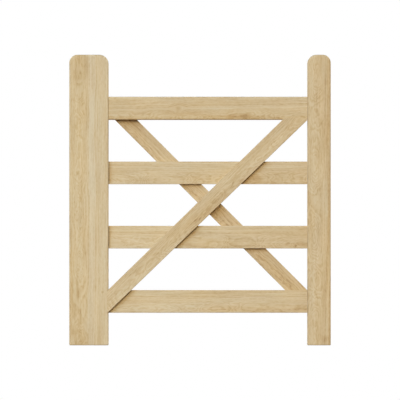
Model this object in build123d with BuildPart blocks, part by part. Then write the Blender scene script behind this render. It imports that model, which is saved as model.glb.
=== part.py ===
from build123d import *
import os
from math import copysign, radians, tan

# Oak fence gate leaf: two stiles, four through-tenoned rails and a crossed pair of braces, in millimetres.
# X runs along the rails from the hanging to the closing stile, the show face looks along -Y and Z is up.
# The origin lies under the middle of the leaf, level with the feet of the stiles.

# Leaf
overall_width = 900.0
overall_height = 1000.0

# Stiles
stile_depth = 70.0
hanging_stile_width = 135.5
closing_stile_width = 81.0
stile_corner_radius = 25.0
stile_foot_chamfer = 2.5
pencil_round = 6.0

# Rails, counted down from the top: the horn is the length of stile above them, and they are evenly spaced
rail_names = ("top_rail", "upper_middle_rail", "lower_middle_rail", "bottom_rail")
top_horn = 144.5
top_rail_height = 80.0
top_rail_depth = 60.0
rail_height = 78.0
bottom_rail_rise = 112.0

# Thin boards: the three lower rails and both braces
board_depth = 22.0
board_round = 2.0

# Braces: the front one widens from foot to head and runs corner to corner, the back one has its own angle
brace_foot_width = 55.5
brace_head_width = 60.5
brace_foot_rise = 2.8
brace_head_drop = 0.9
back_brace_width = 54.0
back_brace_angle = 45.0
back_brace_foot_rise = 1.8
housing_depth = 6.0

# Through tenons, with a wedge above and below each at the outer edge of the stile
tenon_shoulder = 6.0
tenon_clearance = 0.2
wedge_length = 45.0
wedge_butt = 7.0
wedge_tip = 1.0

# Shaved pegs through the tenons, driven from the back into round holes that stop short of the show face
peg_sides = 8
peg_diameter = 12.0
peg_setback = 32.0
peg_cover = 12.0
peg_clearance = 0.1

# Countersunk wood screws, driven from behind where the braces cross the lower rails
screw_diameter = 4.5
screw_head_diameter = 9.5
screw_head_angle = 90.0
screw_length = 38.0
screw_clearance = 0.1
foot_screw_setback = 22.0

# Places that follow from the sizes above
hanging_outer = -overall_width / 2
hanging_inner = hanging_outer + hanging_stile_width
closing_outer = overall_width / 2
closing_inner = closing_outer - closing_stile_width
top_low = overall_height - top_horn - top_rail_height
rail_pitch = (top_low - bottom_rail_rise) / (len(rail_names) - 1)
rail_lows = {name: top_low - i * rail_pitch for i, name in enumerate(rail_names)}
rail_highs = {name: low + rail_height for name, low in rail_lows.items()}
rail_highs["top_rail"] = top_low + top_rail_height
wedge_slope = (wedge_butt - wedge_tip) / wedge_length
flare_length = (wedge_butt - tenon_clearance) / wedge_slope

# Each stile by its name: its outer and its inner edge along X
stiles = {"hanging": (hanging_outer, hanging_inner), "closing": (closing_outer, closing_inner)}

# Back faces, as planes that look backwards
stile_back = Plane.back.offset(stile_depth / 2)
rail_back = Plane.back.offset(board_depth / 2)
front_brace_back = Plane.back.offset(-board_depth / 2)
back_brace_back = Plane.back.offset(board_depth / 2 + board_depth)

# The two planes where the braces bear on the lower rails
front_bearing = Plane.XZ.offset(board_depth / 2)
back_bearing = Plane.XZ.offset(-board_depth / 2)


def write(part, name):
    """Labels a finished piece and writes it under its own name."""
    part.label = name
    export_step(part, f"parts/{name}.step")


def seen_from_back(point):
    """A point of the XZ plane as a plane that looks backwards counts it."""
    x, z = point
    return -x, z


def tenon_span(rail):
    """Lower and upper edge of a rail's tenons."""
    return rail_lows[rail] + tenon_shoulder, rail_highs[rail] - tenon_shoulder


def rail_middle(rail):
    """Height of a rail's middle line."""
    return (rail_lows[rail] + rail_highs[rail]) / 2


def peg_place(rail, stile):
    """Where the peg of a joint stands, set back from the rail's shoulder into the stile."""
    outer, inner = stiles[stile]
    return inner + copysign(peg_setback, outer - inner), rail_middle(rail)


def mortise_outline(rail, stile):
    """Through mortise seen from the front: a slot that flares to the outer edge to take the wedges."""
    outer, inner = stiles[stile]
    low, high = tenon_span(rail)
    flare = outer + copysign(flare_length, inner - outer)
    return [
        (inner, low - tenon_clearance),
        (flare, low - tenon_clearance),
        (outer, low - wedge_butt),
        (outer, high + wedge_butt),
        (flare, high + tenon_clearance),
        (inner, high + tenon_clearance),
    ]


def wedge_outlines(rail, stile):
    """The two wedges of a joint seen from the front, thin end inwards, flat on the tenon."""
    outer, inner = stiles[stile]
    low, high = tenon_span(rail)
    tip = outer + copysign(wedge_length, inner - outer)
    above = [(outer, high), (outer, high + wedge_butt), (tip, high + wedge_tip), (tip, high)]
    below = [(outer, low), (outer, low - wedge_butt), (tip, low - wedge_tip), (tip, low)]
    return above, below


class BraceLine:
    """A brace seen from the front: its lower edge, its widths across the grain and its ends along X."""

    def __init__(self, foot, head, foot_width, head_width, left, right):
        along = (head - foot).normalized()
        across = Vector(-along.Y, along.X) * copysign(1, along.X)
        self.low = (foot, head)
        self.high = (foot + across * foot_width, head + across * head_width)
        self.left = left
        self.right = right

    def corners(self):
        """The board before its ends are cut, long enough to reach past both cuts."""
        (foot_low, head_low), (foot_high, head_high) = self.low, self.high
        spare = max((head_low - head_high).length, (foot_low - foot_high).length)
        low_run = (head_low - foot_low).normalized() * spare
        high_run = (head_high - foot_high).normalized() * spare
        return [foot_low - low_run, head_low + low_run, head_high + high_run, foot_high - high_run]

    def crossing(self, rail):
        """Where the brace's middle line crosses the middle of a rail."""
        foot = (self.low[0] + self.high[0]) / 2
        head = (self.low[1] + self.high[1]) / 2
        along = (head - foot).normalized()
        centre = foot + along * ((rail_middle(rail) - foot.Y) / along.Y)
        return centre.X, centre.Y

    def foot_bearing(self):
        """A place beside the stile, halfway up the part of the bottom rail that the brace's foot covers."""
        foot, head = self.low
        along = (head - foot).normalized()
        low = foot.Y + foot_screw_setback * along.Y / abs(along.X)
        return foot.X + copysign(foot_screw_setback, along.X), (low + rail_highs["bottom_rail"]) / 2

    def screw_place(self, rail):
        """Where the screw stands that holds the brace to a lower rail."""
        return self.foot_bearing() if rail == "bottom_rail" else self.crossing(rail)


back_brace_foot = bottom_rail_rise + back_brace_foot_rise
back_brace_run = (top_low - back_brace_foot) / tan(radians(back_brace_angle))
front_line = BraceLine(
    Vector(hanging_inner, bottom_rail_rise + brace_foot_rise),
    Vector(closing_inner, top_low - brace_head_drop),
    brace_foot_width,
    brace_head_width,
    hanging_inner - housing_depth,
    closing_inner,
)
back_line = BraceLine(
    Vector(closing_inner, back_brace_foot),
    Vector(closing_inner - back_brace_run, top_low),
    back_brace_width,
    back_brace_width,
    hanging_inner,
    closing_inner + housing_depth,
)


def brace_outline(line, bearing):
    """Outline of a brace on its bearing plane, cut upright at the stile and level at the top rail."""
    with BuildSketch(bearing) as outline:
        Polygon(*line.corners(), align=None)
        with Locations((line.left, 0)):
            Rectangle(
                line.right - line.left,
                top_low + housing_depth,
                align=(Align.MIN, Align.MIN),
                mode=Mode.INTERSECT,
            )
    return outline.sketch


front_outline = brace_outline(front_line, front_bearing)
back_outline = brace_outline(back_line, back_bearing)


def stile(name, brace_sketch, outwards):
    """A stile with its rounded top, flared through mortises, peg holes and a housing for a brace's foot."""
    outer, inner = stiles[name]
    middle = (outer + inner) / 2
    width = abs(outer - inner)
    with BuildPart() as post:
        with BuildSketch() as section:
            with Locations((middle, 0)):
                Rectangle(width, stile_depth)
            fillet(section.vertices(), pencil_round)
        extrude(amount=overall_height)
        with BuildSketch(Plane.XZ) as face:
            with Locations((middle, 0)):
                Rectangle(width, overall_height, align=(Align.CENTER, Align.MIN))
            fillet(face.vertices().group_by(Axis.Y)[-1], stile_corner_radius)
        extrude(amount=stile_depth / 2, both=True, mode=Mode.INTERSECT)
        chamfer(post.faces().sort_by(Axis.Z)[0].edges(), stile_foot_chamfer)
        with BuildSketch(Plane.XZ):
            for rail in rail_names:
                Polygon(*mortise_outline(rail, name), align=None)
        extrude(amount=board_depth / 2 + tenon_clearance, both=True, mode=Mode.SUBTRACT)
        extrude(brace_sketch, amount=outwards * stile_depth, mode=Mode.SUBTRACT)
        for rail in rail_names:
            with Locations(stile_back):
                with Locations(seen_from_back(peg_place(rail, name))):
                    Hole(peg_diameter / 2 + peg_clearance, depth=stile_depth - peg_cover)
    return post.part


def rail_blank(rail, depth, arris):
    """A rail between its shoulders, with eased long edges and a bored through tenon at each end."""
    low, high = tenon_span(rail)
    with BuildPart() as blank:
        with BuildSketch(Plane.XZ):
            with Locations((hanging_inner, rail_lows[rail])):
                Rectangle(
                    closing_inner - hanging_inner,
                    rail_highs[rail] - rail_lows[rail],
                    align=(Align.MIN, Align.MIN),
                )
        extrude(amount=depth / 2, both=True)
        fillet(blank.edges().filter_by(Axis.X), arris)
        with BuildSketch(Plane.XZ):
            with Locations((hanging_outer, low)):
                Rectangle(hanging_stile_width, high - low, align=(Align.MIN, Align.MIN))
            with Locations((closing_inner, low)):
                Rectangle(closing_stile_width, high - low, align=(Align.MIN, Align.MIN))
        extrude(amount=board_depth / 2, both=True)
        for stile_name in stiles:
            with Locations(rail_back):
                with Locations(seen_from_back(peg_place(rail, stile_name))):
                    Hole(peg_diameter / 2 + peg_clearance, depth=board_depth)
    return blank.part


def countersink(place, face):
    """A countersunk clearance hole through a thin board, from its back face."""
    with Locations(face):
        with Locations(seen_from_back(place)):
            CounterSinkHole(
                screw_diameter / 2 + screw_clearance,
                screw_head_diameter / 2 + screw_clearance,
                depth=board_depth,
                counter_sink_angle=screw_head_angle,
            )


def pilot(place, face):
    """A blind pilot hole for a screw's end, from a board's back face."""
    with Locations(face):
        with Locations(seen_from_back(place)):
            Hole(screw_diameter / 2 + screw_clearance, depth=screw_length - board_depth + screw_clearance)


os.makedirs("parts", exist_ok=True)

# Stiles
write(stile("hanging", front_outline, 1), "hanging_stile")
write(stile("closing", back_outline, -1), "closing_stile")

# Top rail, notched under both arrises for the heads of the braces
with BuildPart() as top_rail:
    add(rail_blank("top_rail", top_rail_depth, pencil_round))
    extrude(front_outline, amount=top_rail_depth, mode=Mode.SUBTRACT)
    extrude(back_outline, amount=-top_rail_depth, mode=Mode.SUBTRACT)
write(top_rail.part, "top_rail")

# Lower rails: screws pass through them into the front brace, and into them through the back brace
lower_rails = rail_names[1:]
for rail_name in lower_rails:
    with BuildPart() as lower_rail:
        add(rail_blank(rail_name, board_depth, board_round))
        countersink(front_line.screw_place(rail_name), rail_back)
        pilot(back_line.screw_place(rail_name), rail_back)
    write(lower_rail.part, rail_name)

# Braces, eased along their four long edges
with BuildPart() as front_brace:
    extrude(front_outline, amount=board_depth)
    fillet(front_brace.edges().sort_by(SortBy.LENGTH)[-4:], board_round)
    for rail_name in lower_rails:
        pilot(front_line.screw_place(rail_name), front_brace_back)
write(front_brace.part, "front_brace")

with BuildPart() as back_brace:
    extrude(back_outline, amount=-board_depth)
    fillet(back_brace.edges().sort_by(SortBy.LENGTH)[-4:], board_round)
    for rail_name in lower_rails:
        countersink(back_line.screw_place(rail_name), back_brace_back)
write(back_brace.part, "back_brace")

# A pair of wedges and a peg for each joint between a rail and a stile
for rail_name in rail_names:
    for stile_name in stiles:
        with BuildPart() as wedges:
            with BuildSketch(Plane.XZ):
                for outline in wedge_outlines(rail_name, stile_name):
                    Polygon(*outline, align=None)
            extrude(amount=board_depth / 2, both=True)
        write(wedges.part, f"{rail_name}_{stile_name}_wedges")

        with BuildPart() as peg:
            with BuildSketch(stile_back):
                with Locations(seen_from_back(peg_place(rail_name, stile_name))):
                    RegularPolygon(peg_diameter / 2, peg_sides)
            extrude(amount=peg_cover - stile_depth)
        write(peg.part, f"{rail_name}_{stile_name}_peg")

# One countersunk screw, head up, and its copies where the braces cross the lower rails
screw_radius = screw_diameter / 2
screw_head_radius = screw_head_diameter / 2
screw_head_height = (screw_head_radius - screw_radius) / tan(radians(screw_head_angle / 2))
with BuildPart() as screw:
    with BuildSketch(Plane.XZ):
        Polygon(
            (0, 0),
            (screw_head_radius, 0),
            (screw_radius, -screw_head_height),
            (screw_radius, -screw_length),
            (0, -screw_length),
            align=None,
        )
    revolve(axis=Axis.Z)

brace_screws = {"front_brace": (front_line, rail_back), "back_brace": (back_line, back_brace_back)}
for brace_name, (line, face) in brace_screws.items():
    for rail_name in lower_rails:
        with BuildPart() as placed_screw:
            with Locations(face):
                with Locations(seen_from_back(line.screw_place(rail_name))):
                    add(screw.part)
        write(placed_screw.part, f"{brace_name}_{rail_name.removesuffix('_rail')}_screw")
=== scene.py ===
from dataclasses import dataclass
from functools import partial
from math import atan2, copysign, cos, pi, radians, sin, tan

import bmesh
import bpy
from bpy.props import FloatProperty, FloatVectorProperty, IntProperty, PointerProperty
from mathutils import Euler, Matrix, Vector


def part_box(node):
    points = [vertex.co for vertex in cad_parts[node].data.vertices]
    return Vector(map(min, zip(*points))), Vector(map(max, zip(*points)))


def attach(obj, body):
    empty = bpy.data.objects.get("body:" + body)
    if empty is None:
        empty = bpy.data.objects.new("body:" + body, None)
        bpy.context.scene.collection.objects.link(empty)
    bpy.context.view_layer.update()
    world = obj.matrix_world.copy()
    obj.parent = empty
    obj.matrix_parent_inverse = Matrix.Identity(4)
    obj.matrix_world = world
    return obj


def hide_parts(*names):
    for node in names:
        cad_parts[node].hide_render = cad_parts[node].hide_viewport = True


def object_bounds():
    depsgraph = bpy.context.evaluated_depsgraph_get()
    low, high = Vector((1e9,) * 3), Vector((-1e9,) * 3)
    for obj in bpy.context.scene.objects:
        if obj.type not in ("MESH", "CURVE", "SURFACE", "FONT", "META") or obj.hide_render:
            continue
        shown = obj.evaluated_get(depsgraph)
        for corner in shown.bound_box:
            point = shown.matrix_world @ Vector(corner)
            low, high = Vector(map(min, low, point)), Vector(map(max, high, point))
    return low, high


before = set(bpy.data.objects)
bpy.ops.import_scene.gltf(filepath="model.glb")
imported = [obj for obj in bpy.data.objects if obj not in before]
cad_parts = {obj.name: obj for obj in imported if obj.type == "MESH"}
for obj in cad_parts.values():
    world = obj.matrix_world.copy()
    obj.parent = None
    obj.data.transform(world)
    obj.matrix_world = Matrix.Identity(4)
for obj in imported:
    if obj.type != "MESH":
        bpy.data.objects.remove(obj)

cad_low, cad_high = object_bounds()

bl_info = {
    "name": "Oak Gate Leaf",
    "version": (1, 0, 0),
    "blender": (4, 5, 0),
    "location": "3D View > Sidebar > Gate",
    "description": "Models a braced oak gate leaf in its frame and sets it in a plain studio",
    "category": "Object",
}

# Names of the leaf's members, from the top down and from the hinge side to the latch side
RAILS = ("top_rail", "upper_middle_rail", "lower_middle_rail", "bottom_rail")
LOWER_RAILS = RAILS[1:]
SIDES = ("hanging", "closing")

# How far a cutter stands out past the wood that it cuts, in metres
OVERCUT = 0.004

# Edges that meet at less than this stay smooth
SMOOTH_ANGLE = radians(32)

# Places that count as the same, in metres, and how nearly an edge has to follow a line
SAME = 1e-5
ALONG = 0.999

# Steps in each kind of rounded edge
CORNER_STEPS = 14
PENCIL_STEPS = 6
BOARD_STEPS = 4
FOOT_STEPS = 3
END_STEPS = 2

# Sides of the round work
PEG_HOLE_SIDES = 32
SCREW_SIDES = 24

# A peg's point takes off this share of its radius
PEG_POINT = 1 / 3

# The six-pointed recess in a screw's head, and how far in the hollows between its points lie
DRIVE_POINTS = 6
DRIVE_HOLLOW = 0.72

# Widths of the groove between a thread's turns at its floor and its mouth, in half pitches
GROOVE_FLOOR = 1.2
GROOVE_MOUTH = 1.9

# A length and a colour that the user may change
Length = partial(FloatProperty, unit="LENGTH")
Colour = partial(FloatVectorProperty, size=3, min=0, max=1, subtype="COLOR")


class GateSizes(bpy.types.PropertyGroup):
    """Sizes of the joinery that the frame's own boxes don't give"""

    outer_corner: Length(
        name="Outer corner", default=0.028, description="Radius of the stiles' tops at their outer edges",
    )
    inner_corner: Length(
        name="Inner corner", default=0.0325, description="Radius of the stiles' tops at their inner edges",
    )
    pencil_round: Length(
        name="Pencil round", default=0.006, description="Rounded arris of the stiles and the top rail",
    )
    board_round: Length(
        name="Board round", default=0.002, description="Rounded arris of the thin rails and the braces",
    )
    foot_ease: Length(name="Foot ease", default=0.003, description="Eased edge round the foot of each stile")
    end_ease: Length(
        name="End ease", default=0.0006, description="Eased edge of the tenon, wedge and peg ends",
    )
    tenon_shoulder: Length(
        name="Tenon shoulder", default=0.006, description="Shoulder above and below each tenon",
    )
    tenon_thickness: Length(
        name="Tenon thickness", default=0.022, description="Thickness of the through tenons",
    )
    clearance: Length(name="Clearance", default=0.0002, description="Gap round the tenons in their mortises")
    hole_clearance: Length(
        name="Hole clearance", default=0.0001,
        description="Gap round the pegs and the screws in their holes",
    )
    wedge_butt: Length(
        name="Wedge butt", default=0.007, description="Thick end of a wedge, at the stile's outer edge",
    )
    wedge_tip: Length(name="Wedge tip", default=0.001, description="Thin end of a wedge, inside the mortise")
    housing: Length(
        name="Housing", default=0.006,
        description="Depth that the braces' ends are let into the stiles and the top rail",
    )
    foot_width: Length(
        name="Front foot width", default=0.0555, description="Width of the front brace at its foot",
    )
    head_width: Length(
        name="Front head width", default=0.0605, description="Width of the front brace at its head",
    )
    back_width: Length(name="Back width", default=0.054, description="Width of the back brace")
    back_angle: FloatProperty(
        name="Back angle", default=radians(45), subtype="ANGLE",
        description="Rise of the back brace from the level",
    )
    foot_rise: Length(
        name="Front foot rise", default=0.0028,
        description="Height of the front brace's foot above the bottom rail's lower edge",
    )
    head_drop: Length(
        name="Front head drop", default=0.0009,
        description="Drop of the front brace's head below the top rail",
    )
    back_foot_rise: Length(
        name="Back foot rise", default=0.0018,
        description="Height of the back brace's foot above the bottom rail's lower edge",
    )
    screw_diameter: Length(
        name="Screw diameter", default=0.0045, description="Diameter of the screws' shanks",
    )
    screw_head_angle: FloatProperty(
        name="Screw head angle", default=radians(90), subtype="ANGLE",
        description="Whole angle of the countersunk heads",
    )
    screw_point: Length(name="Screw point", default=0.006, description="Length of the screws' points")
    plain_shank: Length(
        name="Plain shank", default=0.009,
        description="Length of shank between a screw's head and its thread",
    )
    thread_pitch: Length(
        name="Thread pitch", default=0.002, description="Rise of the screws' threads in one turn",
    )
    thread_depth: Length(name="Thread depth", default=0.0007, description="Height of the screws' threads")
    drive_diameter: Length(
        name="Drive diameter", default=0.0046,
        description="Width of the six-pointed recess in a screw's head",
    )
    drive_depth: Length(
        name="Drive depth", default=0.0022, description="Depth of the recess in a screw's head",
    )
    peg_sides: IntProperty(name="Peg sides", default=8, min=6, description="Flats shaved on each peg")


class GateColours(bpy.types.PropertyGroup):
    """Colours of the finishes"""

    pale_oak: Colour(name="Pale oak", default=(0.675, 0.555, 0.365), description="Lightest late wood")
    straw_oak: Colour(
        name="Straw oak", default=(0.60, 0.45, 0.262), description="Common tone of the planed faces",
    )
    tan_oak: Colour(
        name="Tan oak", default=(0.500, 0.337, 0.168), description="Early wood and darker streaks",
    )
    brown_oak: Colour(
        name="Brown oak", default=(0.372, 0.235, 0.114), description="Pores, knots and end grain",
    )
    steel: Colour(name="Steel", default=(0.68, 0.67, 0.65), description="Stainless steel of the screws")


def sizes():
    """The leaf's sizes, as the user has set them."""
    return bpy.context.scene.gate_sizes


def colours():
    """The leaf's colours, as the user has set them."""
    return bpy.context.scene.gate_colours


# Places read from the frame


def outer_edge(side):
    """Where a stile's outer edge stands along X."""
    low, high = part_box(f"{side}_stile")
    return low.x if side == "hanging" else high.x


def inner_edge(side):
    """Where a stile's inner edge stands along X."""
    low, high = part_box(f"{side}_stile")
    return high.x if side == "hanging" else low.x


def tenon_span(rail):
    """Lower and upper edge of a rail's tenons."""
    low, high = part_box(rail)
    return low.z + sizes().tenon_shoulder, high.z - sizes().tenon_shoulder


def middle(node):
    """Middle of a node's box."""
    low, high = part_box(node)
    return (low + high) / 2


# Modelling by hand


def only(piece):
    """Leaves one piece selected and active."""
    bpy.ops.object.select_all(action="DESELECT")
    piece.select_set(True)
    bpy.context.view_layer.objects.active = piece


def settle(name):
    """Names the piece that was just added and puts its place into its mesh."""
    piece = bpy.context.object
    piece.name = name
    piece.data.name = name
    bpy.ops.object.transform_apply(location=True, rotation=True, scale=True)
    return piece


def block(name, low, high):
    """A squared block of wood between two corners."""
    bpy.ops.object.select_all(action="DESELECT")
    low, high = Vector(low), Vector(high)
    bpy.ops.mesh.primitive_cube_add(size=1, location=(low + high) / 2, scale=high - low)
    return settle(name)


def rod(name, centre, radius, front, back, sides):
    """A rod that runs from front to back."""
    bpy.ops.object.select_all(action="DESELECT")
    bpy.ops.mesh.primitive_cylinder_add(
        vertices=sides, radius=radius, depth=back - front,
        location=(centre.x, (front + back) / 2, centre.z), rotation=(-pi / 2, 0, 0),
    )
    return settle(name)


def pick(piece, kind, test):
    """Selects a piece's vertices, edges or faces by a test of their place, in edit mode."""
    only(piece)
    bpy.ops.object.mode_set(mode="EDIT")
    bpy.ops.mesh.select_mode(type=kind)
    bpy.ops.mesh.select_all(action="DESELECT")
    mesh = bmesh.from_edit_mesh(piece.data)
    parts = {"VERT": mesh.verts, "EDGE": mesh.edges, "FACE": mesh.faces}[kind]
    for part in parts:
        corners = [part.co] if kind == "VERT" else [corner.co for corner in part.verts]
        part.select_set(bool(test(corners)))
    bmesh.update_edit_mesh(piece.data)


def leave():
    """Goes back to object mode."""
    bpy.ops.object.mode_set(mode="OBJECT")


def whole(corners):
    """A test that takes in all of a piece."""
    return True


def all_at(axis, place):
    """A test that all corners lie at one place along an axis."""
    return lambda corners: all(abs(corner[axis] - place) < SAME for corner in corners)


def runs_along(direction, least):
    """A test that an edge runs along a direction and is longer than a least length."""
    def test(corners):
        run = corners[1] - corners[0]
        return run.length > least and abs(run.normalized().dot(direction)) > ALONG
    return test


def round_edges(piece, test, width, steps=1):
    """Rounds the edges that pass a test, in so many steps."""
    pick(piece, "EDGE", test)
    bpy.ops.mesh.bevel(offset=width, segments=steps, profile=0.5, affect="EDGES", clamp_overlap=False)
    leave()


def saw(piece, place, outwards):
    """Saws a piece off at a plane and closes the cut."""
    pick(piece, "FACE", whole)
    bpy.ops.mesh.bisect(plane_co=place, plane_no=outwards, use_fill=True, clear_outer=True)
    leave()


def shift(piece, test, move):
    """Moves the corners that pass a test."""
    pick(piece, "VERT", test)
    bpy.ops.transform.translate(value=move)
    leave()


def draw_out(length, spread, centre):
    """Draws the selected face out along Y and spreads it about a centre, in edit mode."""
    bpy.ops.mesh.extrude_region_move(TRANSFORM_OT_translate={"value": (0, length, 0)})
    bpy.ops.transform.resize(value=(spread, 1, spread), center_override=centre)


def discard(piece):
    """Takes a cutter or a pattern piece away once it is used."""
    used = piece.data
    bpy.data.objects.remove(piece)
    bpy.data.meshes.remove(used)


def cut(piece, cutter):
    """Cuts a piece with a cutter, which is used up."""
    only(piece)
    modifier = piece.modifiers.new("Cut", "BOOLEAN")
    modifier.operation = "DIFFERENCE"
    modifier.solver = "EXACT"
    modifier.object = cutter
    bpy.ops.object.modifier_apply(modifier=modifier.name)
    discard(cutter)


def like(pattern, name, move):
    """A copy of a pattern piece with its own mesh, moved to its place."""
    only(pattern)
    bpy.ops.object.duplicate(linked=False)
    bpy.context.object.location = move
    return settle(name)


def dress(piece, finish, slot, *nodes):
    """Cleans and smooths a piece, gives it its finish and lets it stand for its nodes."""
    pick(piece, "VERT", whole)
    bpy.ops.mesh.remove_doubles(threshold=SAME)
    bpy.ops.mesh.dissolve_degenerate(threshold=SAME)
    leave()
    bpy.ops.object.shade_smooth_by_angle(angle=SMOOTH_ANGLE)
    modifier = piece.modifiers.new("Flat faces", "WEIGHTED_NORMAL")
    modifier.keep_sharp = True
    bpy.ops.object.modifier_apply(modifier=modifier.name)
    piece.data.materials.clear()
    piece.data.materials.append(finish)
    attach(piece, "root")
    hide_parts(*nodes)


# Joints


def mortise_cutter(rail, side):
    """A through mortise that flares to the stile's outer edge to take its wedges."""
    size = sizes()
    low, high = tenon_span(rail)
    outer, inner = outer_edge(side), inner_edge(side)
    wedge_low, wedge_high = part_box(f"{rail}_{side}_wedges")
    slope = (size.wedge_butt - size.wedge_tip) / (wedge_high.x - wedge_low.x)
    outwards = copysign(1, outer - inner)
    flare = outer - outwards * (size.wedge_butt - size.clearance) / slope
    far, near = outer + outwards * OVERCUT, inner - outwards * OVERCUT
    half = size.tenon_thickness / 2 + size.clearance
    cutter = block(
        "mortise",
        (min(far, near), -half, low - size.clearance),
        (max(far, near), half, high + size.clearance),
    )
    pick(cutter, "FACE", whole)
    bpy.ops.mesh.bisect(plane_co=(flare, 0, 0), plane_no=(1, 0, 0))
    leave()
    rise = abs(far - flare) * slope
    centre = (low + high) / 2
    mouth = all_at(0, far)
    for up in (1, -1):
        shift(cutter, lambda c: mouth(c) and (c[0].z - centre) * up > 0, (0, 0, rise * up))
    return cutter


def peg_hole_cutter(rail, side):
    """A round hole from the back, as deep as the peg."""
    low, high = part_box(f"{rail}_{side}_peg")
    radius = (high.x - low.x) / 2 / cos(pi / sizes().peg_sides / 2) + sizes().hole_clearance
    return rod("peg_hole", (low + high) / 2, radius, low.y, high.y + OVERCUT, PEG_HOLE_SIDES)


def screw_node(brace, rail):
    """Name of the screw that holds a brace to a rail."""
    return f"{brace}_{rail.removesuffix('_rail')}_screw"


def screw_hole_cutter(screw):
    """A countersunk hole for a screw, from its head to its end."""
    size = sizes()
    low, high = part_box(screw)
    centre = (low + high) / 2
    shank = size.screw_diameter / 2 + size.hole_clearance
    head = (high.x - low.x) / 2 + size.hole_clearance
    sink = (head - shank) / tan(size.screw_head_angle / 2)
    cutter = rod("screw_hole", centre, shank, low.y - size.hole_clearance, high.y - sink, SCREW_SIDES)
    pick(cutter, "FACE", all_at(1, high.y - sink))
    draw_out(sink, head / shank, centre)
    draw_out(OVERCUT, 1, centre)
    leave()
    return cutter


# Braces


@dataclass
class BraceLine:
    """A brace's lower edge from foot to head, its widths across the grain and the cuts at its ends."""

    foot: Vector
    head: Vector
    foot_width: float
    head_width: float
    cuts: tuple

    def __post_init__(self):
        run = self.head - self.foot
        self.along = run.normalized()
        self.lean = atan2(run.z, abs(run.x)) * copysign(1, run.x)
        self.across = Vector((-sin(self.lean), 0, cos(self.lean)))

    def blank(self, name, front, back):
        """The board before its arrises are rounded, long enough to reach past both cuts."""
        spare = max(self.foot_width, self.head_width)
        length = (self.head - self.foot).length
        taper = (self.head_width - self.foot_width) / length
        width = (self.foot_width + self.head_width) / 2
        centre = (self.foot + self.head) / 2 + self.across * width / 2
        centre.y = (front + back) / 2
        bpy.ops.object.select_all(action="DESELECT")
        bpy.ops.mesh.primitive_cube_add(
            size=1, location=centre, rotation=(0, -self.lean, 0),
            scale=(length + 2 * spare, back - front, width),
        )
        board = settle(name)
        growth = self.across * taper * (length / 2 + spare)
        for end in (-1, 1):
            shift(board, lambda c: self.upper_corner(c[0] - centre, end), growth * end)
        return board

    def upper_corner(self, offset, end):
        """Whether an offset from the board's middle leads to its upper edge, at its foot or its head."""
        return offset.dot(self.across) > 0 and offset.dot(self.along) * end > 0

    def saw_ends(self, board):
        """Saws the ends to fit the stile and the top rail."""
        for place, outwards in self.cuts:
            saw(board, place, outwards)


def end_cuts(left, right):
    """The saw cuts at a brace's ends: upright at both sides and level in the top rail."""
    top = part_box("top_rail")[0].z + sizes().housing
    return (
        (Vector((left, 0, 0)), Vector((-1, 0, 0))),
        (Vector((right, 0, 0)), Vector((1, 0, 0))),
        (Vector((0, 0, top)), Vector((0, 0, 1))),
    )


def front_line():
    """The front brace, which runs from corner to corner and widens to its head."""
    size = sizes()
    left, right = inner_edge("hanging"), inner_edge("closing")
    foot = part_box("bottom_rail")[0].z + size.foot_rise
    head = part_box("top_rail")[0].z - size.head_drop
    return BraceLine(
        Vector((left, 0, foot)), Vector((right, 0, head)), size.foot_width, size.head_width,
        end_cuts(left - size.housing, right),
    )


def back_line():
    """The back brace, which rises the other way at its own angle."""
    size = sizes()
    left, right = inner_edge("hanging"), inner_edge("closing")
    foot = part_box("bottom_rail")[0].z + size.back_foot_rise
    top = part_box("top_rail")[0].z
    run = (top - foot) / tan(size.back_angle)
    return BraceLine(
        Vector((right, 0, foot)), Vector((right - run, 0, top)), size.back_width, size.back_width,
        end_cuts(left, right + size.housing),
    )


# How each brace runs
BRACES = {"front_brace": front_line, "back_brace": back_line}


def housing_cutter(brace):
    """A cutter for a brace's ends, from its bearing face out past the leaf on its own side."""
    low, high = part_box(brace)
    if brace == "front_brace":
        front, back = cad_low.y - OVERCUT, high.y
    else:
        front, back = low.y, cad_high.y + OVERCUT
    line = BRACES[brace]()
    cutter = line.blank("housing", front, back)
    line.saw_ends(cutter)
    return cutter


# Finishes

# How far each finish moves its noise, so that no two boards look alike
PATTERN_SHIFT = Vector((7.3, 3.1, 5.7))


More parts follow.
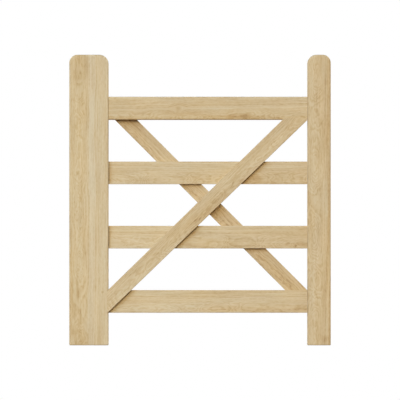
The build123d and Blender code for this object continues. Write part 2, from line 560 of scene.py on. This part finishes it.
class Graph:
    """One material's nodes: each call adds a node and gives back the socket to use next."""

    def __init__(self, name):
        self.material = bpy.data.materials.new(name)
        self.material.use_nodes = True
        self.tree = self.material.node_tree
        self.shader = self.tree.nodes["Principled BSDF"]
        self.coordinates = self.tree.nodes.new("ShaderNodeTexCoord")
        self.shift = PATTERN_SHIFT * len(bpy.data.materials)

    def feed(self, socket, value):
        """Sets a socket, or joins another one to it."""
        if isinstance(value, bpy.types.NodeSocket):
            self.tree.links.new(value, socket)
        else:
            socket.default_value = value

    def coat(self, finish):
        """Sets what the shader shows."""
        for name, value in finish.items():
            self.feed(self.shader.inputs[name], value)

    def node(self, kind, inputs, output, **settings):
        """One node of a kind, with its inputs and settings."""
        node = self.tree.nodes.new(f"ShaderNode{kind}")
        for name, setting in settings.items():
            setattr(node, name, setting)
        for name, value in inputs.items():
            self.feed(node.inputs[name], value)
        return node.outputs[output]

    def math(self, operation, *values, clamp=False):
        """One step of arithmetic."""
        return self.node("Math", dict(enumerate(values)), "Value", operation=operation, use_clamp=clamp)

    def vector(self, operation, *values):
        """One step of vector arithmetic."""
        output = "Value" if operation in ("LENGTH", "DOT_PRODUCT") else "Vector"
        return self.node("VectorMath", dict(enumerate(values)), output, operation=operation)

    def part(self, vector, axis):
        """One part of a vector."""
        return self.node("SeparateXYZ", {"Vector": vector}, axis)

    def away(self, vector, place, length, width):
        """How far off a long mark is: one at its outline."""
        offset = self.vector("SUBTRACT", vector, place)
        return self.vector("LENGTH", self.vector("MULTIPLY", offset, (1 / length, 0.0, 1 / width)))

    def placed(self, vector, location, rotation):
        """A pattern's coordinates, turned and moved."""
        return self.node("Mapping", {"Vector": vector, "Location": location, "Rotation": rotation}, "Vector")

    def noise(self, vector, along, across, detail=2.0, roughness=0.5, output="Fac"):
        """Noise drawn out along the grain: so many waves to the metre along it and across it."""
        waves = self.vector("MULTIPLY_ADD", vector, (along, across, across), self.shift)
        settings = {"Vector": waves, "Scale": 1.0, "Detail": detail, "Roughness": roughness}
        return self.node("TexNoise", settings, output)

    def waver(self, value, rate):
        """Noise along one measure."""
        settings = {"W": self.math("ADD", value, self.shift.x), "Scale": rate, "Detail": 1.0}
        return self.node("TexNoise", settings, "Fac", noise_dimensions="1D")

    def between(self, value, low, high, to_low=0.0, to_high=1.0):
        """A value eased from one range to another."""
        ends = {"From Min": low, "From Max": high, "To Min": to_low, "To Max": to_high}
        return self.node("MapRange", {"Value": value, **ends}, "Result", interpolation_type="SMOOTHSTEP")

    def ramp(self, value, stops):
        """Colours along a scale."""
        colour = self.node("ValToRGB", {"Fac": value}, "Color")
        ramp = colour.node.color_ramp
        while len(ramp.elements) < len(stops):
            ramp.elements.new(1.0)
        for element, (place, shade) in zip(ramp.elements, stops):
            element.position = place
            element.color = (*shade, 1.0)
        return colour

    def toned(self, colour, strength, lightness):
        """A colour made stronger or greyer, lighter or darker."""
        settings = {"Color": colour, "Saturation": strength, "Value": lightness}
        return self.node("HueSaturation", settings, "Color")

    def bump(self, height, strength, distance):
        """Relief from a height."""
        return self.node("Bump", {"Height": height, "Strength": strength, "Distance": distance}, "Normal")


@dataclass
class Board:
    """How a piece of oak was sawn from its log, and where its marks are.

    The heart of the log lay so far behind the board's middle and so far across it. The tone is how dark the
    board is, and a painted falloff of light darkens it by so much in each metre along it: painted shade, not
    the wood's own colour. A band runs along the grain: its place across, half its width, how dark and how
    grey it is. A knot or a streak has its place as it is seen from the front, its half length, its half
    width and how dark it is. All lengths are in metres.
    """

    centre: Vector
    turn: Euler
    heart: tuple
    lean: tuple
    tone: float
    fade: float = 0.0
    bands: tuple = ()
    knots: tuple = ()
    streaks: tuple = ()

    def inside(self, x, z):
        """A place on the front as it lies along and across the board's own grain."""
        place = self.turn.to_matrix() @ (Vector((x, 0, z)) - self.centre)
        place.y = 0
        return place


# Width of a year's growth ring
RING_WIDTH = 0.0045

# How the fibres wander: waves to the metre along and across the grain, and how far they stray
WANDERINGS = ((2.1, 8.0, 0.020), (9.0, 22.0, 0.007), (40.0, 90.0, 0.0022))

# How far the outlines of the knots and the streaks stray
STRAY = 0.006

# How the grain closes in on a knot: from where to where, in the knot's own sizes, and from how much to none
PINCH = (0.4, 3.2, 0.9, 0.0)

# How the rings come up in arches over the heart: how often to the metre, how far they rise and ripple,
# and how far to each side of it
ARCHES = 3.6
ARCH_RISE = 0.085
ARCH_RIPPLE = 0.026
ARCH_REACH = 0.032

# What marks the wood: waves to the metre along and across the grain
RIPPLES = (16.0, 36.0)
TONES = (2.2, 24.0)
CLOUDS = (15.0, 32.0)
BROAD_STREAKS = (4.0, 70.0)
FIBRES = (9.0, 330.0)
FLECKS = (80.0, 240.0)
DASHES = (58.0, 300.0)
PORES = (110.0, 1700.0)
RAYS = (70.0, 420.0)
BLEACHING = (4.0, 24.0)
SHEEN = (7.0, 30.0)

# How dark a common face is, and how much darker the end grain
COMMON_FACE = 0.27
END_GRAIN = 0.22

# Roughness of the palest wood, and how much rougher the darkest is
PALE_ROUGHNESS = 0.68
DARK_ROUGHNESS = 0.20


def oak(name, board):
    """Planed oak: rings that arch over the heart, fine fibres, pores, rays, knots and darker end grain."""
    graph = Graph(name)
    home = -(board.turn.to_matrix() @ board.centre)
    wood = graph.placed(graph.coordinates.outputs["Object"], home, board.turn)
    grain = wood
    for along, across, reach in WANDERINGS:
        drift = graph.vector("SUBTRACT", graph.noise(wood, along, across, output="Color"), (0.5, 0.5, 0.5))
        grain = graph.vector("MULTIPLY_ADD", drift, (0.0, reach, reach), grain)

    stray = graph.vector("MULTIPLY_ADD", drift, (0.0, STRAY, STRAY), wood)
    for x, z, length, width, _ in board.knots:
        place = board.inside(x, z)
        pinch = graph.between(graph.away(grain, place, length, width), *PINCH)
        towards = graph.vector("MULTIPLY", graph.vector("SUBTRACT", place, grain), (0.0, 0.0, 1.0))
        grain = graph.vector("MULTIPLY_ADD", towards, pinch, grain)

    # Growth rings: straight away from the heart, in arches over it
    behind, beside = board.heart
    trunk = graph.placed(grain, (0.0, -behind, -beside), board.lean)
    off = graph.math("ABSOLUTE", graph.part(trunk, "Z"))
    arching = graph.between(off, 0.002, ARCH_REACH, 1.0, 0.05)
    radius = graph.vector("LENGTH", graph.vector("MULTIPLY", trunk, (0.0, 1.0, 1.0)))
    ripple = graph.math("SUBTRACT", graph.noise(wood, *RIPPLES), 0.5)
    rise = graph.math("SUBTRACT", graph.waver(graph.part(wood, "X"), ARCHES), 0.5)
    rise = graph.math("MULTIPLY_ADD", rise, ARCH_RISE, graph.math("MULTIPLY", ripple, ARCH_RIPPLE))
    radius = graph.math("MULTIPLY_ADD", rise, arching, radius)
    mark = 0.0
    for x, z, length, width, depth in (*board.knots, *board.streaks):
        away = graph.away(stray, board.inside(x, z), length, width)
        mark = graph.math("ADD", graph.between(away, 0.1, 1.1, depth, 0.0), mark)
    uneven = graph.math("MULTIPLY", graph.waver(radius, 55.0), 3.0)
    season = graph.math("FRACT", graph.math("MULTIPLY_ADD", radius, 1.0 / RING_WIDTH, uneven))
    early = graph.math(
        "MULTIPLY", graph.between(season, 0.0, 0.16), graph.between(season, 0.25, 0.85, 1.0, 0.0),
    )

    # Clouds of tone, streaks, dashes of pores and rays along the fibres
    tone = graph.noise(wood, *TONES)
    cloud = graph.math("SUBTRACT", graph.noise(grain, *CLOUDS, detail=3.0, roughness=0.6), 0.5)
    cloud = graph.math("MULTIPLY", cloud, graph.math("MULTIPLY_ADD", arching, 0.75, 0.25))
    broad = graph.noise(grain, *BROAD_STREAKS, detail=3.0, roughness=0.6)
    fine = graph.math("SUBTRACT", graph.noise(grain, *FIBRES), 0.5)
    fine = graph.math("MULTIPLY", fine, graph.math("MULTIPLY_ADD", arching, 0.3, 0.85))
    flecks = graph.noise(grain, *FLECKS, detail=1.0)
    early = graph.math("MULTIPLY", early, graph.math("MULTIPLY_ADD", flecks, 1.6, 0.2))
    dashes = graph.between(graph.noise(grain, *DASHES, detail=1.0), 0.52, 0.72)
    dashes = graph.math("MULTIPLY", dashes, graph.math("MULTIPLY_ADD", early, 0.7, 0.3))
    pores = graph.between(graph.noise(grain, *PORES), 0.56, 0.70)
    pores = graph.math("MULTIPLY", pores, graph.math("MULTIPLY_ADD", early, 0.8, 0.2))
    rays = graph.between(graph.noise(grain, *RAYS, detail=1.0), 0.60, 0.72)

    # All of it adds up to how dark the wood is
    # The tone, and a painted falloff of light: painted shade that darkens the board along its length
    dark = graph.math("MULTIPLY_ADD", graph.part(wood, "X"), board.fade, COMMON_FACE + board.tone)
    for part, middle_value, weight in (
        (tone, 0.5, 0.32), (cloud, 0.0, 0.42), (broad, 0.5, 0.62), (fine, 0.0, 0.50),
        (flecks, 0.5, 0.22), (early, 0.35, 0.20), (dashes, 0.0, 0.14), (pores, 0.0, 0.16),
        (rays, 0.0, -0.10), (mark, 0.0, 1.0),
    ):
        dark = graph.math("MULTIPLY_ADD", graph.math("SUBTRACT", part, middle_value), weight, dark)
    bleach = graph.math("SUBTRACT", graph.noise(wood, *BLEACHING), 0.5)
    bleach = graph.math("MULTIPLY_ADD", bleach, 0.2, 1.0)
    place_across = graph.part(grain, "Z")
    for place, half_width, depth, grey in board.bands:
        off = graph.math("ABSOLUTE", graph.math("SUBTRACT", place_across, place))
        inside = graph.between(off, half_width * 0.5, half_width * 1.3, 1.0, 0.0)
        dark = graph.math("MULTIPLY_ADD", inside, depth, dark)
        bleach = graph.math("MULTIPLY_ADD", inside, -grey, bleach)
    fibre = board.turn.to_matrix().inverted() @ Vector((1, 0, 0))
    facing = graph.vector("DOT_PRODUCT", graph.coordinates.outputs["Normal"], fibre)
    end = graph.between(graph.math("ABSOLUTE", facing), 0.55, 0.95)
    dark = graph.math("MULTIPLY_ADD", end, END_GRAIN, dark, clamp=True)

    colour = colours()
    shade = graph.ramp(dark, (
        (0.0, colour.pale_oak), (0.4, colour.straw_oak), (0.75, colour.tan_oak), (1.0, colour.brown_oak),
    ))
    sheen = graph.math("SUBTRACT", graph.noise(grain, *SHEEN), 0.5)
    lightness = graph.math("MULTIPLY_ADD", sheen, 0.2, 1.0)
    height = graph.math("MULTIPLY_ADD", pores, -1.0, graph.math("MULTIPLY", fine, 0.5))
    graph.coat({
        "Base Color": graph.toned(shade, bleach, lightness),
        "Roughness": graph.math("MULTIPLY_ADD", dark, DARK_ROUGHNESS, PALE_ROUGHNESS),
        "Specular IOR Level": 0.35,
        "Normal": graph.bump(height, 0.25, 0.0003),
    })
    return graph.material


def bright_steel(name):
    """Satin stainless steel with a faint unevenness."""
    graph = Graph(name)
    place = graph.coordinates.outputs["Object"]
    cloud = graph.noise(place, 300.0, 300.0, detail=3.0)
    scratch = graph.noise(place, 2500.0, 900.0)
    steel = Vector(colours().steel)
    graph.coat({
        "Base Color": graph.ramp(cloud, ((0.2, steel * 0.82), (0.8, steel))),
        "Metallic": 0.85,
        "Roughness": graph.math("MULTIPLY_ADD", cloud, 0.16, 0.36),
        "Normal": graph.bump(scratch, 0.15, 0.00005),
    })
    return graph.material


# Turn of each kind of piece that lays its grain along X
UPRIGHT = Euler((0, radians(90), 0))
LEVEL = Euler((0, 0, 0))
THROUGH = Euler((0, 0, radians(-90)))


def stile_finish(side):
    """The oak of a stile: a pale stripe on the hanging stile, a darker edge on the closing one."""
    centre = middle(f"{side}_stile")
    if side == "hanging":
        return oak("hanging_stile_oak", Board(
            centre, UPRIGHT, (-0.010, 0.033), (0, radians(0.4), radians(0.8)), -0.05,
            bands=((-0.0105, 0.011, -0.08, 0.06), (-0.036, 0.018, 0.02, 0.0), (0.042, 0.036, 0.06, -0.05)),
            knots=((-0.423, 0.5945, 0.009, 0.007, 0.40), (-0.335, 0.183, 0.007, 0.005, 0.3)),
            streaks=(
                (-0.395, 0.945, 0.05, 0.014, 0.16), (-0.432, 0.930, 0.025, 0.012, 0.16),
                (-0.434, 0.845, 0.008, 0.006, 0.2), (-0.400, 0.600, 0.02, 0.010, 0.08),
                (-0.420, 0.175, 0.035, 0.006, 0.32), (-0.412, 0.105, 0.04, 0.006, 0.22),
                (-0.420, 0.045, 0.012, 0.02, 0.18), (-0.385, 0.030, 0.075, 0.075, 0.18),
                (-0.367, 0.920, 0.14, 0.020, 0.12), (-0.394, 0.115, 0.05, 0.030, 0.11),
                (-0.427, 0.310, 0.07, 0.020, 0.09), (-0.367, 0.480, 0.25, 0.020, -0.07),
            ),
        ))
    return oak("closing_stile_oak", Board(
        centre, UPRIGHT, (-0.010, 0.0105), (0, radians(-0.4), radians(1.4)), 0.15,
        bands=((-0.036, 0.008, 0.12, -0.05), (0.0215, 0.012, -0.10, 0.0)),
        knots=((0.400, 0.906, 0.010, 0.007, 0.12), (0.398, 0.9655, 0.008, 0.006, 0.1)),
        streaks=(
            (0.434, 0.906, 0.020, 0.010, 0.2), (0.431, 0.022, 0.018, 0.014, 0.25),
            (0.432, 0.740, 0.28, 0.017, 0.18), (0.402, 0.737, 0.06, 0.025, -0.10),
            (0.411, 0.462, 0.06, 0.015, -0.07), (0.392, 0.050, 0.06, 0.020, 0.10),
        ),
    ))


class GATE_OT_stiles(bpy.types.Operator):
    """Models the two stiles: rounded tops and arrises, eased feet, mortises, peg holes and housings"""

    bl_idname = "gate.stiles"
    bl_label = "Stiles"
    bl_options = {"REGISTER", "UNDO"}

    def execute(self, context):
        for side, brace in zip(SIDES, BRACES):
            self.model(side, brace)
        return {"FINISHED"}

    def model(self, side, brace):
        """One stile, from a squared post, with a housing for the foot of its brace."""
        size = sizes()
        low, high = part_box(f"{side}_stile")
        stile = block(f"stile_{side}", low, high)
        top = all_at(2, high.z)
        for edge, radius in ((outer_edge(side), size.outer_corner), (inner_edge(side), size.inner_corner)):
            upright = all_at(0, edge)
            round_edges(stile, lambda c: top(c) and upright(c), radius, CORNER_STEPS)
        foot = all_at(2, low.z)
        front, back = all_at(1, low.y), all_at(1, high.y)
        round_edges(stile, lambda c: (front(c) or back(c)) and not foot(c), size.pencil_round, PENCIL_STEPS)
        round_edges(stile, foot, size.foot_ease, FOOT_STEPS)
        for rail in RAILS:
            cut(stile, mortise_cutter(rail, side))
            cut(stile, peg_hole_cutter(rail, side))
        cut(stile, housing_cutter(brace))
        dress(stile, stile_finish(side), "oak_stile", f"{side}_stile")


def rail_blank(rail, arris, steps):
    """A rail with rounded arrises, a shouldered tenon at each end and its peg holes."""
    size = sizes()
    low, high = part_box(rail)
    piece = block(f"{rail}_oak", low, high)
    round_edges(piece, runs_along(Vector((1, 0, 0)), 0), arris, steps)
    tenon_low, tenon_high = tenon_span(rail)
    half = size.tenon_thickness / 2
    front, back = low.y - OVERCUT, high.y + OVERCUT
    for side in SIDES:
        outer, inner = outer_edge(side), inner_edge(side)
        far = outer + copysign(OVERCUT, outer - inner)
        left, right = min(far, inner), max(far, inner)
        cut(piece, block("shoulder", (left, front, tenon_high), (right, back, high.z + OVERCUT)))
        cut(piece, block("shoulder", (left, front, low.z - OVERCUT), (right, back, tenon_low)))
        if high.y > half + SAME:
            cut(piece, block("shoulder", (left, front, low.z), (right, -half, high.z)))
            cut(piece, block("shoulder", (left, half, low.z), (right, back, high.z)))
        round_edges(piece, all_at(0, outer), size.end_ease)
        cut(piece, peg_hole_cutter(rail, side))
    return piece


class GATE_OT_top_rail(bpy.types.Operator):
    """Models the thick top rail, notched underneath for the heads of the braces"""

    bl_idname = "gate.top_rail"
    bl_label = "Top Rail"
    bl_options = {"REGISTER", "UNDO"}

    def execute(self, context):
        rail = rail_blank("top_rail", sizes().pencil_round, PENCIL_STEPS)
        for brace in BRACES:
            cut(rail, housing_cutter(brace))
        finish = oak("top_rail_oak", Board(
            middle("top_rail"), LEVEL, (-0.004, -0.030), (0, radians(0.5), radians(0.6)), 0.07,
            knots=(
                (-0.074, 0.8168, 0.014, 0.009, 0.28), (0.154, 0.790, 0.024, 0.011, 0.34),
                (-0.293, 0.849, 0.006, 0.004, 0.25), (0.212, 0.804, 0.006, 0.004, 0.25),
            ),
            streaks=(
                (0.105, 0.787, 0.05, 0.007, 0.25), (0.0, 0.8017, 0.06, 0.003, 0.15),
                (-0.060, 0.812, 0.07, 0.035, 0.08), (0.140, 0.785, 0.08, 0.020, 0.08),
            ),
            bands=((-0.035, 0.010, 0.06, -0.06),),
        ))
        dress(rail, finish, "oak_rail", "top_rail")
        return {"FINISHED"}


class GATE_OT_lower_rails(bpy.types.Operator):
    """Models the three thin rails, bored for the screws of the braces"""

    bl_idname = "gate.lower_rails"
    bl_label = "Lower Rails"
    bl_options = {"REGISTER", "UNDO"}

    # How each thin rail was sawn. The number after the tone is painted shade, a falloff of light that
    # darkens the rail towards the closing stile
    SAWN = {
        "upper_middle_rail": Board(
            middle("upper_middle_rail"), LEVEL, (0.015, -0.024), (0, radians(0.5), 0), 0.05, 0.16,
            streaks=((0.345, 0.612, 0.05, 0.020, 0.08),),
        ),
        "lower_middle_rail": Board(
            middle("lower_middle_rail"), LEVEL, (0.015, -0.018), (0, radians(-0.5), radians(0.9)),
            0.05, 0.32,
            knots=((0.3304, 0.342, 0.007, 0.005, 0.4),),
            streaks=(
                (-0.268, 0.4087, 0.012, 0.004, 0.2), (-0.285, 0.356, 0.04, 0.020, 0.12),
                (0.220, 0.356, 0.06, 0.020, 0.09),
            ),
        ),
        "bottom_rail": Board(
            middle("bottom_rail"), LEVEL, (0.018, -0.024), (0, radians(0.5), radians(0.5)), 0.03, 0.36,
            knots=((0.274, 0.1366, 0.005, 0.004, 0.2),),
        ),
    }

    def execute(self, context):
        for rail, sawn in self.SAWN.items():
            piece = rail_blank(rail, sizes().board_round, BOARD_STEPS)
            for brace in BRACES:
                cut(piece, screw_hole_cutter(screw_node(brace, rail)))
            dress(piece, oak(f"{rail}_oak", sawn), "oak_rail", rail)
        return {"FINISHED"}


class GATE_OT_braces(bpy.types.Operator):
    """Models the two braces, sawn to the stiles and the top rail and bored for their screws"""

    bl_idname = "gate.braces"
    bl_label = "Braces"
    bl_options = {"REGISTER", "UNDO"}

    def execute(self, context):
        self.model("front_brace", (0.018, 0.012), 0.09, (
            (-0.090, 0.390, 0.055, 0.010, 0.2), (0.170, 0.607, 0.012, 0.006, 0.25),
            (-0.233, 0.194, 0.16, 0.06, -0.13), (0.041, 0.458, 0.20, 0.06, 0.14),
            (0.322, 0.728, 0.12, 0.06, 0.06),
        ))
        self.model("back_brace", (0.015, 0.010), 0.20, (
            (-0.137, 0.660, 0.12, 0.06, -0.10), (0.080, 0.443, 0.08, 0.06, 0.09),
            (0.300, 0.223, 0.20, 0.06, 0.11),
        ))
        return {"FINISHED"}

    def model(self, brace, heart, tone, streaks):
        """One brace, from a planed board."""
        line = BRACES[brace]()
        low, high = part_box(brace)
        board = line.blank(f"{brace}_oak", low.y, high.y)
        half = (line.head - line.foot).length / 2
        round_edges(board, runs_along(line.along, half), sizes().board_round, BOARD_STEPS)
        line.saw_ends(board)
        for rail in LOWER_RAILS:
            cut(board, screw_hole_cutter(screw_node(brace, rail)))
        turn = Euler((0, line.lean, 0))
        lean = (0, radians(0.5), radians(0.4))
        sawn = Board(middle(brace), turn, heart, lean, tone, streaks=streaks)
        dress(board, oak(f"{brace}_oak", sawn), "oak_brace", brace)


class GATE_OT_wedges(bpy.types.Operator):
    """Models the wedges beside the tenons, a pair for each joint"""

    bl_idname = "gate.wedges"
    bl_label = "Wedges"
    bl_options = {"REGISTER", "UNDO"}

    def execute(self, context):
        finish = oak("wedge_oak", Board(Vector(), LEVEL, (0.04, 0.02), (0, radians(2), radians(1)), 0.10))
        for side in SIDES:
            for upper in (True, False):
                pattern = self.pattern(side, upper)
                for rail in RAILS:
                    node = f"{rail}_{side}_wedges"
                    low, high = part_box(node)
                    place = Vector((0, 0, high.z if upper else low.z))
                    name = f"{rail}_{side}_{'upper' if upper else 'lower'}_wedge"
                    dress(like(pattern, name, place), finish, "oak_wedge", node)
                discard(pattern)
        return {"FINISHED"}

    def pattern(self, side, upper):
        """One wedge with its outer long edge at the level of the origin, thick at the stile's outer edge."""
        size = sizes()
        low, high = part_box(f"top_rail_{side}_wedges")
        bottom, top = (-size.wedge_butt, 0) if upper else (0, size.wedge_butt)
        wedge = block("wedge_pattern", (low.x, low.y, bottom), (high.x, high.y, top))
        tip = all_at(0, high.x if side == "hanging" else low.x)
        long_edge = all_at(2, 0)
        taper = copysign(size.wedge_butt - size.wedge_tip, bottom + top)
        shift(wedge, lambda c: tip(c) and long_edge(c), (0, 0, taper))
        round_edges(wedge, all_at(0, outer_edge(side)), size.end_ease, END_STEPS)
        return wedge


class GATE_OT_pegs(bpy.types.Operator):
    """Models the shaved pegs that hold the tenons, one for each joint"""

    bl_idname = "gate.pegs"
    bl_label = "Pegs"
    bl_options = {"REGISTER", "UNDO"}

    def execute(self, context):
        finish = oak("peg_oak", Board(Vector(), THROUGH, (0.05, 0.03), (0, 0, 0), 0.08))
        pattern = self.pattern()
        for rail in RAILS:
            for side in SIDES:
                node = f"{rail}_{side}_peg"
                place = middle(node)
                place.y = 0
                dress(like(pattern, f"{rail}_{side}_shaved_peg", place), finish, "oak_peg", node)
        discard(pattern)
        return {"FINISHED"}

    def pattern(self):
        """One peg on the Y axis, eased at its end and pointed where it goes in."""
        size = sizes()
        low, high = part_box("top_rail_hanging_peg")
        radius = (high.x - low.x) / 2
        peg = rod("peg_pattern", Vector(), radius, low.y, high.y, size.peg_sides)
        round_edges(peg, all_at(1, high.y), size.end_ease, END_STEPS)
        round_edges(peg, all_at(1, low.y), radius * PEG_POINT, END_STEPS)
        return peg


class GATE_OT_screws(bpy.types.Operator):
    """Models the countersunk wood screws that hold the braces"""

    bl_idname = "gate.screws"
    bl_label = "Screws"
    bl_options = {"REGISTER", "UNDO"}

    def execute(self, context):
        finish = bright_steel("screw_steel")
        pattern = self.pattern()
        for brace in BRACES:
            for rail in LOWER_RAILS:
                node = screw_node(brace, rail)
                place = middle(node)
                place.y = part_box(node)[1].y
                dress(like(pattern, f"{node}_steel", place), finish, "stainless_screw", node)
        discard(pattern)
        return {"FINISHED"}

    def pattern(self):
        """One screw on the Y axis, its head level with the origin, with a six-pointed drive."""
        size = sizes()
        low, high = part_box("front_brace_bottom_screw")
        shank = size.screw_diameter / 2
        head = (high.x - low.x) / 2
        sink = (head - shank) / tan(size.screw_head_angle / 2)
        tip = low.y - high.y
        shoulder = tip + size.screw_point
        screw = rod("screw_pattern", Vector(), shank, shoulder, -sink, SCREW_SIDES)
        pick(screw, "FACE", all_at(1, -sink))
        draw_out(sink, head / shank, Vector())
        leave()
        pick(screw, "FACE", all_at(1, shoulder))
        bpy.ops.mesh.extrude_region_move(TRANSFORM_OT_translate={"value": (0, -size.screw_point, 0)})
        bpy.ops.mesh.merge(type="CENTER")
        leave()
        star = rod("drive", Vector(), size.drive_diameter / 2, -size.drive_depth, OVERCUT, 2 * DRIVE_POINTS)
        pick(star, "VERT", lambda c: round(atan2(c[0].z, c[0].x) * DRIVE_POINTS / pi) % 2 == 0)
        bpy.ops.transform.resize(value=(DRIVE_HOLLOW, 1, DRIVE_HOLLOW), center_override=(0, 0, 0))
        leave()
        cut(screw, star)
        cut(screw, self.groove(shank - size.thread_depth, tip, -sink - size.plain_shank))
        return screw

    def groove(self, root, low, high):
        """The groove between the turns of a thread, wound round the Y axis."""
        size = sizes()
        width = size.thread_pitch / 2
        bpy.ops.object.select_all(action="DESELECT")
        bpy.ops.mesh.primitive_plane_add(size=width, location=(root + width / 2, low, 0))
        groove = settle("thread_groove")
        for is_floor, spread in ((True, GROOVE_FLOOR), (False, GROOVE_MOUTH)):
            pick(groove, "VERT", lambda c: (c[0].x < root + SAME) == is_floor)
            bpy.ops.transform.resize(value=(1, spread, 1), center_override=(0, low, 0))
            leave()
        pick(groove, "FACE", whole)
        bpy.ops.mesh.delete(type="ONLY_FACE")
        leave()
        turns = groove.modifiers.new("Turns", "SCREW")
        turns.axis = "Y"
        turns.screw_offset = size.thread_pitch
        turns.iterations = int((high - low) / size.thread_pitch)
        turns.steps = turns.render_steps = SCREW_SIDES
        bpy.ops.object.modifier_apply(modifier=turns.name)
        bpy.ops.object.mode_set(mode="EDIT")
        bpy.ops.mesh.select_all(action="SELECT")
        bpy.ops.mesh.fill_holes(sides=4)
        bpy.ops.mesh.select_all(action="SELECT")
        bpy.ops.mesh.normals_make_consistent(inside=False)
        leave()
        return groove


class GATE_OT_stage(bpy.types.Operator):
    """Sets the plain floor, the soft studio light and the camera"""

    bl_idname = "gate.stage"
    bl_label = "Stage"
    bl_options = {"REGISTER", "UNDO"}

    # Each light: how far round and how high it stands, in degrees from straight in front of the leaf,
    # how wide it looks from there and its strength in red, green and blue
    LIGHTS = {
        "low_key": (-6, 10, 20, (1.91, 1.78, 1.36)),
        "high_key": (-24, 26, 30, (0.71, 0.93, 1.28)),
        "left_fill": (-41, 20, 44, (0.37, 0.45, 0.58)),
        "right_fill": (43, 25, 50, (0.30, 0.25, 0.10)),
        "high_right": (60, 58, 40, (0.42, 0.62, 0.95)),
        "floor_glow": (15, -50, 60, (0.20, 0.07, 0.01)),
        "back_left": (-128, 14, 28, (2.5, 2.45, 2.3)),
        "back_right": (125, 16, 40, (2.7, 2.6, 2.3)),
    }
    FLOOR_WIDTH = 60.0

    # How far the painted shade reaches round a stile's foot, and how bright the floor is in that painted
    # shade
    SHADE_REACH = 0.12
    SHADED_FLOOR = 0.82

    # The picture's pixels, and how many of them show a metre of the leaf
    PICTURE_PIXELS = 400
    PIXELS_TO_THE_METRE = 290.56
    CAMERA_DISTANCE = 3.0

    def execute(self, context):
        self.sky(context.scene)
        self.floor()
        for name, place in self.LIGHTS.items():
            self.sun(name, *place)
        self.camera(context.scene)
        context.scene.view_settings.view_transform = "Standard"
        return {"FINISHED"}

    def sky(self, scene):
        """White behind the leaf, which gives no light of its own."""
        world = bpy.data.worlds.new("studio")
        world.use_nodes = True
        scene.world = world
        nodes, links = world.node_tree.nodes, world.node_tree.links
        white = nodes["Background"]
        white.inputs["Color"].default_value = (1.0, 1.0, 1.0, 1.0)
        path = nodes.new("ShaderNodeLightPath")
        links.new(path.outputs["Is Camera Ray"], white.inputs["Strength"])

    def floor(self):
        """A wide white floor that glows evenly, with a little painted shade where the stiles stand on it."""
        bpy.ops.object.select_all(action="DESELECT")
        bpy.ops.mesh.primitive_plane_add(size=self.FLOOR_WIDTH)
        floor = settle("studio_floor")
        graph = Graph("white_floor")
        # Painted shade: ambient occlusion dims the floor's glow near the stiles' feet
        shade = graph.node("AmbientOcclusion", {"Distance": self.SHADE_REACH}, "AO")
        graph.coat({
            "Base Color": (0.0, 0.0, 0.0, 1.0),
            "Specular IOR Level": 0.0,
            "Emission Color": (1.0, 1.0, 1.0, 1.0),
            "Emission Strength": graph.between(shade, 0.35, 0.8, self.SHADED_FLOOR, 1.0),
        })
        floor.data.materials.append(graph.material)
        floor.visible_diffuse = False
        floor.visible_glossy = False

    def sun(self, name, round_about, height, width, strength):
        """One soft light from far away."""
        light = bpy.data.lights.new(name, "SUN")
        light.energy = max(strength)
        light.color = Vector(strength) / light.energy
        light.angle = radians(width)
        lamp = bpy.data.objects.new(name, light)
        lamp.rotation_euler = (radians(90 - height), 0, radians(round_about))
        bpy.context.scene.collection.objects.link(lamp)

    def camera(self, scene):
        """A camera with no perspective, square to the leaf and level with its middle."""
        lens = bpy.data.cameras.new("camera")
        lens.type = "ORTHO"
        lens.ortho_scale = self.PICTURE_PIXELS / self.PIXELS_TO_THE_METRE
        eye = bpy.data.objects.new("camera", lens)
        centre = (cad_low + cad_high) / 2
        eye.location = (centre.x, cad_low.y - self.CAMERA_DISTANCE, centre.z)
        eye.rotation_euler = (pi / 2, 0, 0)
        scene.collection.objects.link(eye)
        scene.camera = eye


class GATE_PT_panel(bpy.types.Panel):
    """The gate's tools"""

    bl_idname = "GATE_PT_panel"
    bl_label = "Oak Gate Leaf"
    bl_space_type = "VIEW_3D"
    bl_region_type = "UI"
    bl_category = "Gate"

    def draw(self, context):
        layout = self.layout
        for group in (context.scene.gate_sizes, context.scene.gate_colours):
            box = layout.box()
            for name in group.__annotations__:
                box.prop(group, name)
        for operator in OPERATORS:
            layout.operator(operator.bl_idname)


OPERATORS = (
    GATE_OT_stiles,
    GATE_OT_top_rail,
    GATE_OT_lower_rails,
    GATE_OT_braces,
    GATE_OT_wedges,
    GATE_OT_pegs,
    GATE_OT_screws,
    GATE_OT_stage,
)
CLASSES = (GateSizes, GateColours, *OPERATORS, GATE_PT_panel)


def register():
    for cls in CLASSES:
        bpy.utils.register_class(cls)
    bpy.types.Scene.gate_sizes = PointerProperty(type=GateSizes)
    bpy.types.Scene.gate_colours = PointerProperty(type=GateColours)


def unregister():
    del bpy.types.Scene.gate_colours
    del bpy.types.Scene.gate_sizes
    for cls in reversed(CLASSES):
        bpy.utils.unregister_class(cls)


def main():
    register()
    bpy.ops.gate.stiles()
    bpy.ops.gate.top_rail()
    bpy.ops.gate.lower_rails()
    bpy.ops.gate.braces()
    bpy.ops.gate.wedges()
    bpy.ops.gate.pegs()
    bpy.ops.gate.screws()
    bpy.ops.gate.stage()


if __name__ == "__main__":
    main()
